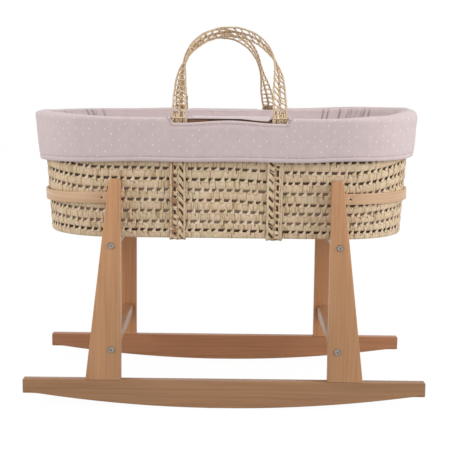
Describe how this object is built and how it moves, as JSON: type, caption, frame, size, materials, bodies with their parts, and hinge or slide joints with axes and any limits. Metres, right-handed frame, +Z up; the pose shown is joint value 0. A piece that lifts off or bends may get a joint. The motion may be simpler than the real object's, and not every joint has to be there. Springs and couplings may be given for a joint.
{
  "type": "moses basket on a rocking stand",
  "caption": "Woven baby basket with padded liner, soft carrying handles and mattress, resting in a wooden rocking stand with tapered legs, curved rockers and bent end bands.",
  "frame": {"origin": "on the floor under the middle of the stand, centred between the rockers", "axes": "+X along the rockers to the right seen from the front, +Y across the stand from the front to the back, +Z up"},
  "size_m": [0.816, 0.416, 0.7702],
  "materials": {
    "beech": "satin lacquer",
    "bent_wood": "satin lacquer",
    "dowel_wood": "plain",
    "steel": "zinc plated",
    "dark_steel": "dull",
    "palm_leaf": "dry woven leaf",
    "palm_braid": "dry braided leaf",
    "liner_cloth": "matte cotton",
    "mattress_cover": "matte cotton"
  },
  "bodies": {
    "stand": {"front_rocker": "beech", "back_rocker": "beech", "front_left_leg": "beech", "front_right_leg": "beech", "back_left_leg": "beech", "back_right_leg": "beech", "left_upper_rail": "beech", "right_upper_rail": "beech", "left_lower_rail": "beech", "right_lower_rail": "beech", "left_end_band": "bent_wood", "right_end_band": "bent_wood", "rail_bolts": "steel", "cross_nuts": "steel", "rail_dowels": "dowel_wood", "leg_dowels": "dowel_wood", "band_screws": "steel", "band_tacks": "dark_steel"},
    "basket": {"basket_wall": "palm_leaf", "basket_base": "palm_leaf", "left_carry_strap": "palm_braid", "right_carry_strap": "palm_braid", "liner_wall": "liner_cloth", "liner_floor": "liner_cloth", "liner_skirt": "liner_cloth", "front_slot_binding": "liner_cloth", "back_slot_binding": "liner_cloth", "mattress": "mattress_cover"},
    "front_handle_body": {"front_handle": "palm_braid"},
    "back_handle_body": {"back_handle": "palm_braid"}
  },
  "joints": [
    {"name": "basket_lift", "type": "slide", "parent": "stand", "child": "basket", "axis": [0, 0, 1], "range_m": [0, 0.3]},
    {"name": "front_handle_swing", "type": "hinge", "parent": "basket", "child": "front_handle_body", "pos_m": [0, -0.19255, 0.58685], "axis": [1, 0, 0], "range_deg": [0, 138]},
    {"name": "back_handle_swing", "type": "hinge", "parent": "basket", "child": "back_handle_body", "pos_m": [0, 0.19255, 0.58685], "axis": [-1, 0, 0], "range_deg": [0, 138]}
  ]
}
